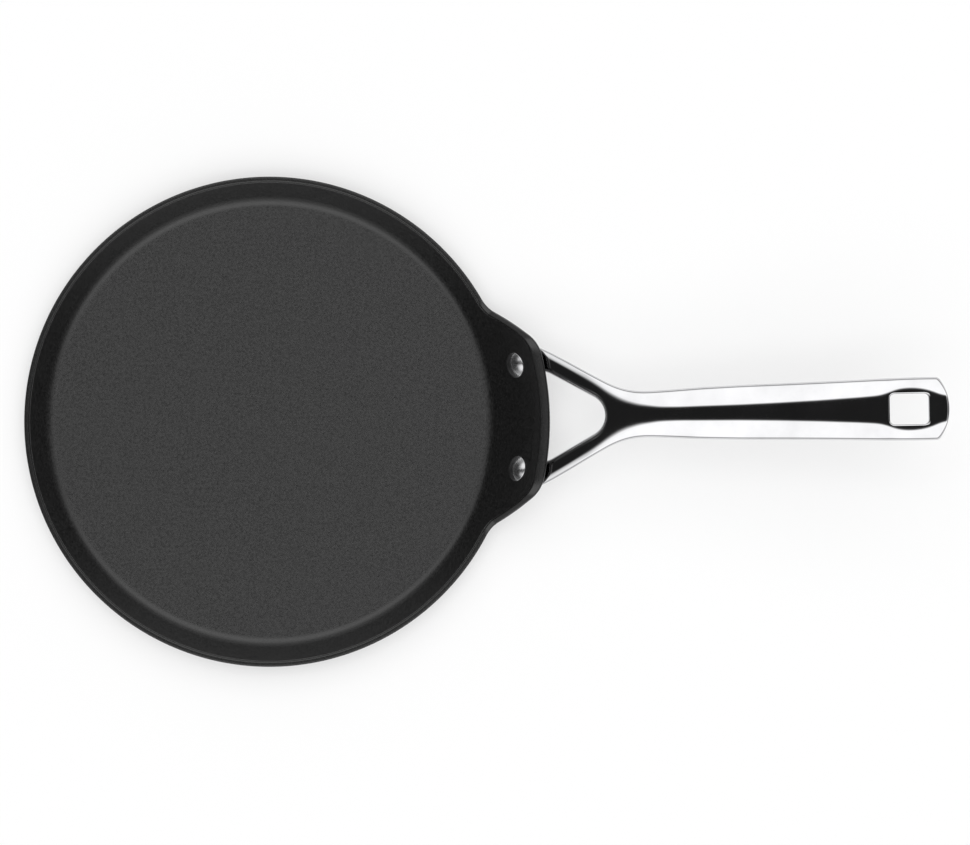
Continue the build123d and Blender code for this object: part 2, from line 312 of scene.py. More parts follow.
polished = {
    "dark": (0.62, 0.62, 0.63, 1), "light": (0.70, 0.70, 0.71, 1), "scale": 60.0, "stretch": 30.0,
    "rough": (0.04, 0.07), "scratchRough": 0.03, "bump": 0.05, "bumpDepth": 0.00001,
}
rivetSteel = {
    "dark": (0.62, 0.62, 0.63, 1), "light": (0.72, 0.72, 0.73, 1), "scale": 300.0, "stretch": 8.0,
    "rough": (0.20, 0.26), "scratchRough": 0.06, "bump": 0.1, "bumpDepth": 0.00002,
}
plateSteel = {
    "dark": (0.50, 0.50, 0.50, 1), "light": (0.58, 0.58, 0.58, 1), "scale": 40.0, "stretch": 20.0,
    "rings": 3000.0, "rough": (0.30, 0.38), "scratchRough": 0.12, "bump": 0.35, "bumpDepth": 0.00003,
}
handleMaterial = makeSteel("polishedSteel", polished)
rivetMaterial = makeSteel("rivetSteel", rivetSteel)
plateMaterial = makeSteel("turnedSteel", plateSteel)
print("materials made")

# the pan's body: bowl, rim, tongue with its lip, and the recess for the base plate
pan = {
    "baseThickness": 4.5, "wall": 2.8, "wallSlope": 50.0, "floorRound": 7.0, "baseRound": 10.0,
    "rimRadius": 123.0, "rimHeight": 15.5, "rimLipWidth": 2.4, "rimBeadDepth": 1.52,
    "rimInnerRound": 1.2, "rimOuterRound": 1.1,
    "tongueRadius": 140.6, "tongueCornerY": 37.8, "tongueSideAngle": 34.7,
    "tongueCornerRound": 19.0, "tongueNotchRound": 18.0, "tongueRise": 8.0,
    "endLipWidth": 4.8, "sideLipWidth": 2.7, "endBeadDepth": 2.5, "lipInnerRound": 1.6,
    "lipNarrows": (12.5, 19.0), "lipEnds": (22.0, 29.0),   # degrees away from the handle
    "beadLowRound": 0.7, "underLipRound": 1.6, "underLipLeast": 0.03,
    "plateRadius": 95.0, "plateDepth": 0.6, "plateGap": 0.2, "plateRound": 0.15,
    "outlineStep": 0.2, "turnProbe": 0.2, "fineTurn": 38.0, "fineStep": 0.4, "coarseCount": 225,
    "sharp": 40.0,
}
wallAngle = radians(pan["wallSlope"])
wallAcross = pan["wall"] / sin(wallAngle)
rimInnerRadius = pan["rimRadius"] - pan["rimLipWidth"]


def innerRadius(height):
    return rimInnerRadius + (height - pan["rimHeight"]) / tan(wallAngle)


def coneHeight(radius, across):
    return pan["rimHeight"] + (radius - across - rimInnerRadius) * tan(wallAngle)


# radius of the body's outline at an azimuth: the rim, the hollow notch, the tongue's
# straight side, its rounded corner and its end
def outlineTable():
    normalTurn = 90 - pan["tongueSideAngle"]
    side = radians(normalTurn)
    normal, run = np.array([cos(side), sin(side)]), np.array([-sin(side), cos(side)])
    cornerY, endRadius = pan["tongueCornerY"], pan["tongueRadius"]
    corner = np.array([(endRadius**2 - cornerY**2) ** 0.5, cornerY])
    offset = corner @ normal
    cornerRound, notchRound = pan["tongueCornerRound"], pan["tongueNotchRound"]
    cornerRun = ((endRadius - cornerRound) ** 2 - (offset - cornerRound) ** 2) ** 0.5
    cornerCentre = normal * (offset - cornerRound) - run * cornerRun
    notchRun = ((pan["rimRadius"] + notchRound) ** 2 - (offset + notchRound) ** 2) ** 0.5
    notchCentre = normal * (offset + notchRound) - run * notchRun
    cornerTurn = degrees(atan2(cornerCentre[1], cornerCentre[0]))
    notchTurn = degrees(atan2(notchCentre[1], notchCentre[0]))
    step = pan["outlineStep"]
    line = np.vstack([
        arcPoints((0, 0), endRadius, 0, cornerTurn, step),
        arcPoints(cornerCentre, cornerRound, cornerTurn, normalTurn, step),
        arcPoints(notchCentre, notchRound, normalTurn - 180, notchTurn - 180, step),
        arcPoints((0, 0), pan["rimRadius"], notchTurn, 180, step),
    ])
    turns = np.degrees(np.arctan2(line[:, 1], line[:, 0]))
    radii = np.hypot(line[:, 0], line[:, 1])
    order = np.argsort(turns)
    return turns[order], radii[order]


outlineTurns, outlineRadii = outlineTable()


# degrees between an azimuth and the handle
def offHandle(turn):
    return abs((turn + 180) % 360 - 180)


def outlineRadius(turn):
    return np.interp(offHandle(turn), outlineTurns, outlineRadii)


# outer radius, inner radius and height of the crest, the bead's depth and how far the
# tongue has risen, from 0 on the rim to 1
def crestAt(turn):
    radius, probe = outlineRadius(turn), pan["turnProbe"]
    change = (outlineRadius(turn + probe) - outlineRadius(turn - probe)) / radians(2 * probe)
    lean = cos(atan2(change, radius))
    narrowed = smoothStep(*pan["lipNarrows"], offHandle(turn))
    ended = smoothStep(*pan["lipEnds"], offHandle(turn))
    width = pan["endLipWidth"] + (pan["sideLipWidth"] - pan["endLipWidth"]) * narrowed
    width += (pan["rimLipWidth"] - pan["sideLipWidth"]) * ended
    raised = smoothStep(pan["rimRadius"], pan["rimRadius"] + pan["tongueRise"], radius)
    inner = radius - width / lean
    height = pan["rimHeight"] + (inner - rimInnerRadius) * tan(wallAngle)
    depth = pan["rimBeadDepth"] + (pan["endBeadDepth"] - pan["rimBeadDepth"]) * raised
    return radius, inner, height, depth, raised


# section lines stand closer together on the handle's side
def azimuths():
    fine = pan["fineTurn"]
    near = np.arange(-fine, fine + pan["fineStep"] / 2, pan["fineStep"])
    far = np.linspace(fine, 360 - fine, pan["coarseCount"])[1:-1]
    return np.concatenate([near, far])


# extra points in long runs keep the shading of flat parts flat
def holdRuns(line, near=0.6, long=3.0):
    made = [line[0]]
    for before, after in zip(line[:-1], line[1:]):
        length = np.linalg.norm(after - before)
        if length > long:
            along = (after - before) / length
            made += [before + along * near, (before + after) / 2, after - along * near]
        made.append(after)
    return np.array(made)


# section of the body from the middle of the floor over the crest to the middle of the base
def bodySection(turn):
    radius, inner, height, depth, raised = crestAt(turn)
    low = height - depth
    under = min(innerRadius(low) + wallAcross, radius - pan["underLipLeast"])
    plateEdge = pan["plateRadius"] + pan["plateGap"]
    points = [
        (0, pan["baseThickness"]),
        (innerRadius(pan["baseThickness"]), pan["baseThickness"]),
        (inner, height),
        (radius, height),
        (radius, low),
        (under, low),
        (innerRadius(0) + wallAcross, 0),
        (plateEdge, 0),
        (plateEdge, pan["plateDepth"]),
        (0, pan["plateDepth"]),
    ]
    innerRound = pan["rimInnerRound"] + (pan["lipInnerRound"] - pan["rimInnerRound"]) * raised
    rounds = [0, pan["floorRound"], innerRound, pan["rimOuterRound"], pan["beadLowRound"],
              pan["underLipRound"], pan["baseRound"], pan["plateRound"], pan["plateRound"], 0]
    return holdRuns(roundCorners(points, rounds, steps=7))


# the coating ends a little below the crest, further below it on the tongue, and thins
# out there over its last few millimetres
coat = {
    "depth": 0.25, "edge": 0.9, "tongueEdge": 0.7, "edgeRound": 0.3, "backRound": 0.02,
    "taperHeight": 3.0, "taperShare": 0.9,
}


# section of the coating from the middle of the floor to its edge and back underneath
def coatingSection(turn):
    _, _, height, _, raised = crestAt(turn)
    back = coat["edge"] + coat["tongueEdge"] * raised
    top = height - back * sin(wallAngle) * tan(wallAngle / 2)
    across = coat["depth"] / sin(wallAngle)
    floorTop = pan["baseThickness"] + coat["depth"]
    points = [
        (0, floorTop),
        (innerRadius(floorTop) - across, floorTop),
        (innerRadius(top - coat["taperHeight"]) - across, top - coat["taperHeight"]),
        (innerRadius(top) - across * (1 - coat["taperShare"] * raised), top),
        (innerRadius(top), top),
        (innerRadius(pan["baseThickness"]), pan["baseThickness"]),
        (0, pan["baseThickness"]),
    ]
    rounds = [0, pan["floorRound"] - coat["depth"], 0, coat["edgeRound"], coat["backRound"],
              pan["floorRound"], 0]
    return holdRuns(roundCorners(points, rounds, steps=8))


# a piece from a section line at each azimuth round Z
def makeRings(name, section, material, node):
    turns = azimuths()
    sections = [section(turn) for turn in turns]
    verts = []
    for turn, line in zip(turns, sections):
        c, s = cos(radians(turn)), sin(radians(turn))
        verts += [(r * c, r * s, z) for r, z in line]
    faces = gridFaces(len(turns), len(sections[0]), closed=True)
    makePiece(name, verts, faces, material, node, pan["sharp"])


makeRings("panShell", bodySection, outsideMaterial, "pan_body")
makeRings("panCoating", coatingSection, coatingMaterial, "nonstick_coating")

# base plate with its holes, and the pegs that fill them
plate = {
    "radius": pan["plateRadius"], "thickness": pan["plateDepth"], "holeRadius": 3.2,
    "ringSpacing": 20.0, "rings": 4, "firstRing": 6,
    "pegRadius": 3.05, "pegHeight": 0.5, "pegDome": 0.18,
    "edgeSides": 180, "holeSides": 28, "pegSides": 24, "sharp": 30.0,
}


def sizeInput(label, key):
    return label, "NodeSocketFloat", plate[key] * mm


# points of the rings: 6, 12, 18 and 24 round the middle
def addRingPoints(tree, spacing):
    joined = tree.nodes.new("GeometryNodeJoinGeometry")
    for ring in range(plate["rings"], 0, -1):
        reach = addMath(tree, "MULTIPLY", spacing, float(ring))
        circle = addNode(tree, "GeometryNodeMeshCircle",
                         {"Vertices": plate["firstRing"] * ring, "Radius": reach})
        tree.links.new(circle.outputs[0], joined.inputs[0])
    return joined.outputs[0]


def makePlateTree(material):
    tree, given, out = newTree(
        "GeometryNodeTree", "perforatedPlate",
        [sizeInput("Radius", "radius"), sizeInput("Hole Radius", "holeRadius"),
         sizeInput("Ring Spacing", "ringSpacing"), sizeInput("Thickness", "thickness")],
        [("Geometry", "NodeSocketGeometry")],
    )
    radius, holeRadius, spacing, thickness = list(given.outputs)[:4]
    rim = addNode(tree, "GeometryNodeCurvePrimitiveCircle",
                  {"Resolution": plate["edgeSides"], "Radius": radius})
    hole = addNode(tree, "GeometryNodeCurvePrimitiveCircle",
                   {"Resolution": plate["holeSides"], "Radius": holeRadius})
    holes = addNode(tree, "GeometryNodeInstanceOnPoints",
                    {"Points": addRingPoints(tree, spacing), "Instance": hole.outputs[0]})
    both = tree.nodes.new("GeometryNodeJoinGeometry")
    for part in (holes, rim):
        tree.links.new(part.outputs[0], both.inputs[0])
    curves = addNode(tree, "GeometryNodeRealizeInstances", {0: both.outputs[0]})
    face = addNode(tree, "GeometryNodeFillCurve", {0: curves.outputs[0]})
    raised = addNode(tree, "GeometryNodeExtrudeMesh",
                     {"Mesh": face.outputs[0], "Offset Scale": thickness, "Individual": False})
    under = addNode(tree, "GeometryNodeFlipFaces", {0: face.outputs[0]})
    closed = tree.nodes.new("GeometryNodeJoinGeometry")
    for part in (raised, under):
        tree.links.new(part.outputs[0], closed.inputs[0])
    welded = addNode(tree, "GeometryNodeMergeByDistance", {0: closed.outputs[0], "Distance": 0.001 * mm})
    real = addNode(tree, "GeometryNodeRealizeInstances", {0: welded.outputs[0]})
    finish = addNode(tree, "GeometryNodeSetMaterial", {0: real.outputs[0], "Material": material})
    tree.links.new(finish.outputs[0], out.inputs[0])
    return tree


def makePegTree(material):
    tree, given, out = newTree(
        "GeometryNodeTree", "basePegs",
        [sizeInput("Ring Spacing", "ringSpacing"), sizeInput("Peg Radius", "pegRadius"),
         sizeInput("Peg Height", "pegHeight"), sizeInput("Dome", "pegDome")],
        [("Geometry", "NodeSocketGeometry")],
    )
    spacing, radius, height, dome = list(given.outputs)[:4]
    body = addNode(tree, "GeometryNodeMeshCone", {
        "Vertices": plate["pegSides"], "Side Segments": 1, "Fill Segments": 1, "Radius Top": radius,
        "Radius Bottom": addMath(tree, "SUBTRACT", radius, dome), "Depth": height})
    pegs = addNode(tree, "GeometryNodeInstanceOnPoints",
                   {"Points": addRingPoints(tree, spacing), "Instance": body.outputs[0]})
    real = addNode(tree, "GeometryNodeRealizeInstances", {0: pegs.outputs[0]})
    lift = addNode(tree, "ShaderNodeCombineXYZ", {2: (plate["thickness"] - plate["pegHeight"]) * mm})
    lifted = addNode(tree, "GeometryNodeTransform", {0: real.outputs[0], "Translation": lift.outputs[0]})
    finish = addNode(tree, "GeometryNodeSetMaterial", {0: lifted.outputs[0], "Material": material})
    tree.links.new(finish.outputs[0], out.inputs[0])
    return tree


# runs a tree on an empty mesh and keeps what it makes as a plain mesh
def runTree(name, tree, material, node):
    holder = bpy.data.objects.new(name, bpy.data.meshes.new(name + "Start"))
    bpy.context.scene.collection.objects.link(holder)
    modifier = holder.modifiers.new(name, "NODES")
    modifier.node_group = tree
    for item in tree.interface.items_tree:
        if item.in_out == "INPUT":
            modifier[item.identifier] = item.default_value
    evaluated = holder.evaluated_get(bpy.context.evaluated_depsgraph_get())
    mesh = bpy.data.meshes.new_from_object(evaluated)
    holder.modifiers.clear()
    mesh.name = name
    holder.data = mesh
    finishPiece(holder, material, node, plate["sharp"])
    print(name, len(mesh.polygons), "faces")


runTree("basePlate", makePlateTree(plateMaterial), plateMaterial, "induction_plate")
runTree("basePegs", makePegTree(outsideMaterial), outsideMaterial, "pan_body")

rivet = {
    "spread": 51.8, "height": 22.5, "grip": 6.8, "shankRadius": 3.0,
    "headRadius": 6.4, "headHeight": 2.6, "tailRadius": 4.5, "tailHeight": 1.6, "edgeHeight": 0.5,
    "headInset": 0.25, "tailInset": 0.2, "cornerInset": 0.08, "cornerDrops": (0.1, 0.25), "sunk": 0.1,
    "capPoints": 13, "around": 64, "sharp": 50.0,
}


# half section of a rivet along its axis: radius and place, from the head to the tail
def rivetSection():
    headTop = coat["depth"] + rivet["headHeight"]
    headEdge = coat["depth"] + rivet["edgeHeight"]
    tailTop = -rivet["grip"] - rivet["tailHeight"]
    tailEdge = -rivet["grip"] - rivet["edgeHeight"]

    def cap(edgeRadius, edge, top):
        rise, way = abs(top - edge), np.sign(top - edge)
        bend = (edgeRadius**2 + rise**2) / (2 * rise)
        turns = np.linspace(0.0, asin(edgeRadius / bend), rivet["capPoints"])
        return [(bend * sin(t), top - way * bend + way * bend * cos(t)) for t in turns]

    first, second = rivet["cornerDrops"]
    head = cap(rivet["headRadius"] - rivet["headInset"], headEdge, headTop)
    tail = cap(rivet["tailRadius"] - rivet["tailInset"], tailEdge, tailTop)
    middle = [
        (rivet["headRadius"] - rivet["cornerInset"], headEdge - first),
        (rivet["headRadius"], headEdge - second),
        (rivet["headRadius"], coat["depth"] - rivet["sunk"]),
        (rivet["shankRadius"], coat["depth"] - rivet["sunk"]),
        (rivet["shankRadius"], rivet["sunk"] - rivet["grip"]),
        (rivet["tailRadius"], rivet["sunk"] - rivet["grip"]),
        (rivet["tailRadius"], tailEdge + second),
        (rivet["tailRadius"] - rivet["cornerInset"], tailEdge + first),
    ]
    return head + middle + tail[::-1]


def makeRivet(name, side, node):
    seatRadius = innerRadius(rivet["height"])
    turn = asin(side * rivet["spread"] / 2 / seatRadius)
    seat = Matrix.Rotation(turn, 4, "Z") @ Matrix.Translation((seatRadius, 0, rivet["height"]))
    seat = seat @ Matrix.Rotation(-wallAngle, 4, "Y")
    line = rivetSection()
    verts = []
    for step in range(rivet["around"]):
        around = 2 * pi * step / rivet["around"]
        verts += [tuple(seat @ Vector((r * cos(around), r * sin(around), z))) for r, z in line]
    faces = gridFaces(rivet["around"], len(line), closed=True)
    makePiece(name, verts, faces, rivetMaterial, node, rivet["sharp"])


makeRivet("rivetLeft", 1, "rivet_left")
makeRivet("rivetRight", -1, "rivet_right")

handle = {
    # plan: the fork's gap, the grip's end and the hanging hole
    "tip": 167.8, "tipRound": 10.4, "gapHalf": 22.3, "gapTurnRound": 14.0, "forkHalfAngle": 29.7,
    "end": 336.5, "endRound": 26.5, "endCornerRound": 2.5, "gripHalf": 15.5,
    "holeStart": 307.5, "holeEnd": 326.3, "holeHalf": 7.5, "holeRound": 2.2,
    # plan: the arms' roots under the lip and the pads on the wall
    "rootX": 142.0, "rootCorner": (129.3, 37.8), "rootRound": 7.0,
    "rootGapX": 134.0, "rootGapRound": 3.0,
    "padFoot": 121.2, "padHalf": 10.5, "padTurn": 11.82, "padRound": 4.5,
    "padInnerEnd": 129.0, "padInnerRound": 5.0,
    # section: the flanks, what clears the lip, the pads' thickness and the hollow underneath
    "flankSlope": 22.0, "softShift": 0.9, "lipGap": 0.05, "lipBlend": 1.5,
    "padThick": 6.2, "padEdgeThick": 0.9, "padEdgeReach": 3.4, "padBlend": 2.5,
    "channelDepth": 4.5, "channelWall": 5.0, "channelStart": 206.0, "channelEnd": 290.0,
    "channelEdge": 0.8, "channelRamp": 6.0,
    # rounded edges and the steep sides below them
    "gapRound": 3.0, "endEdgeRound": 0.7, "padEdgeRound": 0.9, "holeEdgeRound": (0.7, 1.4),
    "edgePoints": 8, "edgeLeast": 0.35, "holdWidth": 0.35, "slopeProbe": (0.4, 1.0), "steepest": 60.0,
    "sideShare": 0.45, "sideBend": 1.5, "lowRound": 1.2, "lowBend": 0.96, "holeInset": 0.3,
    "underInset": (0.6, 2.6), "insetGrows": (138, 158), "insetEnds": (298, 326), "gripFrom": 200,
    "padRoundEnds": (130, 142), "gapFrom": 136, "gapFacing": 0.05, "sideFacing": (0.2, 0.7),
    "holeFacing": (0.3, 0.9),
    # spacing of the mesh
    "arcStep": 0.2, "cornerStep": 0.1, "sideStep": 0.3, "boundaryStep": 0.9, "holeStepShare": 0.7,
    "fillStep": 1.7, "rowShare": 0.87, "clearShare": 0.55, "flowClear": 0.28, "spineStep": 1.5,
    "spineClear": 0.7, "flowStart": 128.0, "flowEnd": 336.0, "flowStep": 1.4,
    "creaseLines": (-2.5, -1.2, -0.5, 0.0, 0.5, 1.2, 2.5), "channelLines": (-0.9, -0.4, 0.0, 0.4, 0.9),
    "sharp": 24.0,
    # tables over the place along X, and how far each one is smoothed
    "spread": {"half": 2.5, "flat": 2.0, "top": 5.0, "thick": 5.0, "soft": 3.0, "sideRound": 3.0},
    # half width
    "half": [(120, 43.6), (142, 31.5), (151, 26.5), (160, 21.2), (166, 17.8), (172, 14.6),
             (178, 12.5), (184, 11.5), (190, 11.45), (200, 11.95), (215, 12.85), (235, 13.55),
             (260, 14.05), (278, 14.5), (296, 15.0), (307.5, 15.35), (319, 15.5), (340, 15.5)],
    # half width of the flat on top
    "flat": [(120, 40.3), (143.6, 26.9), (146.5, 25.2), (150.5, 22.9), (155.4, 19.9), (160.4, 17.0),
             (165.3, 13.8), (168.2, 11.5), (171.2, 9.7), (175.1, 7.4), (180.1, 5.65), (185, 4.5),
             (194.8, 3.3), (205, 3.2), (214.5, 3.4), (234, 3.7), (254, 4.3), (273, 5.05), (293, 6.1),
             (302.5, 6.8), (306, 7.7), (309.8, 9.5), (314.7, 10.3), (319.5, 10.3), (324.4, 9.7),
             (327.8, 8.7), (330.7, 7.4), (333.2, 6.3), (340, 6.1)],
    # height of the top
    "top": [(118, 20.0), (131, 25.6), (145, 32.8), (160, 40.6), (170, 44.7), (178, 47.4), (188, 50.25),
            (215, 55.7), (255, 61.9), (290, 66.9), (304, 68.9), (312, 69.9), (322, 71.2), (330, 72.0),
            (337, 72.6)],
    # thickness
    "thick": [(118, 4.0), (145, 5.0), (160, 6.5), (170, 8.0), (178, 9.0), (188, 9.5), (215, 9.5),
              (255, 10.0), (290, 10.0), (304, 9.0), (312, 8.5), (337, 8.0)],
    # softness of the crease between flat and flank
    "soft": [(118, 0.7), (152, 0.9), (164, 2.1), (172, 2.8), (180, 2.2), (190, 1.6), (204, 1.1),
             (340, 1.1)],
    # rounding of the upper side edges
    "sideRound": [(118, 0.9), (148, 1.1), (188, 2.0), (340, 2.0)],
}
fineStep = 0.25
fineX = np.arange(110.0, 345.0, fineStep)


def smoothTable(table, spread):
    xs, values = zip(*table)
    line = np.interp(fineX, xs, values)
    reach = int(3 * spread / fineStep)
    weights = np.exp(-0.5 * (np.arange(-reach, reach + 1) * fineStep / spread) ** 2)
    padded = np.concatenate([
        line[0] + (line[1] - line[0]) * np.arange(-reach, 0),
        line,
        line[-1] + (line[-1] - line[-2]) * np.arange(1, reach + 1),
    ])
    return np.convolve(padded, weights / weights.sum(), "valid")


handleLines = {name: smoothTable(handle[name], spread) for name, spread in handle["spread"].items()}


def atX(name, x):
    return np.interp(x, fineX, handleLines[name])


def smoothMin(a, b, blend):
    gap = a - b
    return (a + b - np.sqrt(gap * gap + blend * blend)) / 2


# height of the wall's outer face
def wallUnder(x, y):
    return coneHeight(np.hypot(x, y), wallAcross)


# height of the flat top, its soft creases and the sloping flanks
def gripTopAt(x, y):
    soft = atX("soft", x)
    beyond = np.abs(y) - atX("flat", x) - handle["softShift"] * soft
    drop = (beyond + np.sqrt(beyond * beyond + soft * soft)) / 2 * tan(radians(handle["flankSlope"]))
    return atX("top", x) - drop


# the same, kept under the wall where the arms meet it
def topAt(x, y):
    return smoothMin(gripTopAt(x, y), wallUnder(x, y) - handle["lipGap"], handle["lipBlend"])


# distance up the wall from the pad's foot, in plan
def fromFoot(x, y):
    turn = radians(handle["padTurn"])
    return x * cos(turn) + np.abs(y) * sin(turn) - handle["padFoot"]


# height of the underside: grip with its hollow, arms and pads
def bottomAt(x, y):
    edge, ramp = handle["channelEdge"], handle["channelRamp"]
    inner = atX("half", x) - handle["channelWall"]
    hollow = smoothStep(-edge, edge, inner - np.abs(y)) * smoothStep(0, ramp, x - handle["channelStart"])
    hollow = hollow * smoothStep(0, ramp, handle["channelEnd"] - x)
    arm = atX("top", x) - atX("thick", x) + hollow * handle["channelDepth"]
    least, reach = handle["padEdgeThick"], handle["padEdgeReach"]
    padThick = least + (handle["padThick"] - least) * np.sqrt(np.clip(fromFoot(x, y) / reach, 0.0, 1.0))
    return smoothMin(arm, wallUnder(x, y) - padThick, handle["padBlend"])


# the half plan's edge: end arc, grip side, arm, pad, the fork's gap and its tip
def outerEdge():
    centre = handle["end"] - handle["endRound"]
    corner = handle["endCornerRound"]
    cornerY = handle["gripHalf"] - corner
    cornerX = centre + ((handle["endRound"] - corner) ** 2 - cornerY**2) ** 0.5
    cornerTurn = degrees(asin(cornerY / (handle["endRound"] - corner)))
    line = [arcPoints((centre, 0), handle["endRound"], 0, cornerTurn, handle["arcStep"]),
            arcPoints((cornerX, cornerY), corner, cornerTurn, 90, handle["cornerStep"])]
    rootX, step = handle["rootX"], handle["sideStep"]
    side = np.arange(cornerX - step, rootX, -step)
    line.append(np.column_stack([side, atX("half", side)]))
    turn = radians(handle["padTurn"])

    def onPad(up, across):
        return (up * cos(turn) - across * sin(turn), up * sin(turn) + across * cos(turn))

    armTurn = radians(90 - handle["forkHalfAngle"])
    tipCentre = handle["tip"] - handle["tipRound"]
    tipStart = (tipCentre + handle["tipRound"] * cos(armTurn), handle["tipRound"] * sin(armTurn))
    gapTurn = tipStart[0] - (handle["gapHalf"] - tipStart[1]) * tan(armTurn)
    padHalf, padRound = handle["padHalf"], handle["padRound"]
    points = [
        (rootX, float(atX("half", rootX))), handle["rootCorner"],
        onPad(handle["padFoot"], padHalf), onPad(handle["padFoot"], -padHalf),
        onPad(handle["padInnerEnd"], -padHalf), (handle["rootGapX"], handle["gapHalf"]),
        (gapTurn, handle["gapHalf"]), tipStart,
    ]
    rounds = [0, handle["rootRound"], padRound, padRound, handle["padInnerRound"],
              handle["rootGapRound"], handle["gapTurnRound"], 0]
    line.append(roundCorners(points, rounds, steps=24))
    line.append(arcPoints((tipCentre, 0), handle["tipRound"], degrees(armTurn), 0, handle["arcStep"]))
    return np.vstack(line)


def holeEdge():
    start, end, half, corner = (handle[k] for k in ("holeStart", "holeEnd", "holeHalf", "holeRound"))
    points = [(end, 0), (end, half), (start, half), (start, 0)]
    return roundCorners(points, [0, corner, corner, 0], steps=24)


# evenly spaced points with the direction into the metal
def evenly(line, step, intoLeft):
    gaps = np.hypot(*np.diff(line, axis=0).T)
    line = line[np.concatenate([[True], gaps > 1e-6])]
    along = np.concatenate([[0], np.cumsum(np.hypot(*np.diff(line, axis=0).T))])
    places = np.linspace(0, along[-1], int(along[-1] / step) + 1)
    points = np.column_stack([np.interp(places, along, line[:, k]) for k in (0, 1)])
    ahead = np.gradient(points, axis=0)
    ahead /= np.linalg.norm(ahead, axis=1)[:, None]
    into = np.column_stack([-ahead[:, 1], ahead[:, 0]]) * (1 if intoLeft else -1)
    for end in (0, -1):
        into[end] = (np.sign(into[end, 0]), 0.0)
    return points, into


# loops of points from the top surface over the edge and down to the underside
def edgeStrip(points, into, inset, rounds):
    near, far = handle["slopeProbe"]
    loops = []
    for (x, y), (nx, ny), under, radius in zip(points, into, inset, rounds):

        def topIn(depth):
            return topAt(x + nx * depth, y + ny * depth)

        slope = (topIn(far) - topIn(near)) / (far - near)
        slope = min(max(atan(slope), 0.0), radians(handle["steepest"]))
        first = radius * (1 - sin(slope))
        last = under + handle["lowRound"]
        foot = bottomAt(x + nx * last, y + ny * last)
        centre = max(topIn(first) - radius * cos(slope), foot + handle["edgeLeast"])
        hold = first + handle["holdWidth"]
        upper = [(hold, topIn(hold))]
        upper += [(radius * (1 - sin(t)), centre + radius * cos(t))
                  for t in np.linspace(slope, pi / 2, handle["edgePoints"])]
        side = centre - (centre - foot) * handle["sideShare"]
        lower = roundCorners([(0, centre), (0, side), (under, foot), (last, foot)],
                             [0, handle["sideBend"], handle["lowBend"], 0], steps=4)[1:]
        loops.append([(x + nx * d, y + ny * d, z) for d, z in upper + [tuple(p) for p in lower]])
    return np.array(loops)


def insideLoop(points, loop):
    x, y = points[:, 0], points[:, 1]
    inside = np.zeros(len(points), bool)
    for (x1, y1), (x2, y2) in zip(loop, np.roll(loop, -1, axis=0)):
        crosses = (y1 > y) != (y2 > y)
        with np.errstate(divide="ignore", invalid="ignore"):
            at = x1 + (y - y1) * (x2 - x1) / (y2 - y1)
        inside ^= crosses & (x < at)
    return inside


# distance from each point to the nearest of the others, taken in portions
def nearest(points, others, portion=400):
    made = np.full(len(points), 1e9)
    for start in range(0, len(others), portion):
        part = others[start:start + portion]
        made = np.minimum(made, np.hypot(points[:, None, 0] - part[None, :, 0],
                                         points[:, None, 1] - part[None, :, 1]).min(axis=1))
    return made


# fills the area inside a loop with triangles that keep the flow lines as edges
def fillArea(loop, flowLines):
    points = [tuple(p) for p in loop]
    edges = [(i, (i + 1) % len(loop)) for i in range(len(loop))]
    held = [loop]
    for line in flowLines:
        keep = insideLoop(line, loop) & (nearest(line, loop) > handle["flowClear"])
        for i in range(len(line)):
            if keep[i]:
                points.append(tuple(line[i]))
                if i and keep[i - 1]:
                    edges.append((len(points) - 2, len(points) - 1))
        if keep.any():
            held.append(line[keep])
    step = handle["fillStep"]
    low, high = loop.min(axis=0), loop.max(axis=0)
    grid = []
    for row, y in enumerate(np.arange(low[1], high[1], step * handle["rowShare"])):
        xs = np.arange(low[0] + (row % 2) * step / 2, high[0], step)
        grid += [(x, y) for x in xs]
    grid = np.array(grid)
    grid = grid[insideLoop(grid, loop)]
    grid = grid[nearest(grid, np.vstack(held)) > step * handle["clearShare"]]
    points += [tuple(p) for p in grid]
    found = delaunay_2d_cdt([Vector(p) for p in points], edges, [], 1, 1e-7)
    return np.array([tuple(v) for v in found[0]]), [tuple(f) for f in found[2]]


# inset of the underside and rounding of the upper edge along the outer edge
def edgeSizes(edge, into):
    x = edge[:, 0]
    least, most = handle["underInset"]
    atGrip = (edge[:, 1] > atX("flat", x)) | (x > handle["gripFrom"])
    grown = np.where(atGrip, smoothStep(*handle["insetGrows"], x), 0.0)
    inset = least + (most - least) * grown * (1 - smoothStep(*handle["insetEnds"], x))
    side = smoothStep(*handle["sideFacing"], -into[:, 1])
    rounds = handle["endEdgeRound"] + (atX("sideRound", x) - handle["endEdgeRound"]) * side
    facing = handle["gapFacing"]
    gap = (into[:, 0] > facing) & (into[:, 1] > -facing) & (x > handle["gapFrom"])
    rounds = np.where(gap, handle["gapRound"], rounds)
    onPads = handle["padEdgeRound"]
    return inset, onPads + (rounds - onPads) * smoothStep(*handle["padRoundEnds"], x)


# lines that the mesh follows: the creases on top and the hollow's edges underneath
def flowLines():
    x = np.arange(handle["flowStart"], handle["flowEnd"], handle["flowStep"])
    creases = [np.column_stack([x, atX("flat", x) + (share + handle["softShift"]) * atX("soft", x)])
               for share in handle["creaseLines"]]
    x = np.arange(handle["channelStart"], handle["channelEnd"], handle["flowStep"])
    hollow = [np.column_stack([x, atX("half", x) - handle["channelWall"] + off])
              for off in handle["channelLines"]]
    return creases, hollow


# points on the middle line between two places along X
def spine(start, end):
    x = np.arange(start + handle["spineStep"], end - handle["spineClear"], handle["spineStep"])
    return np.column_stack([x, np.zeros_like(x)])


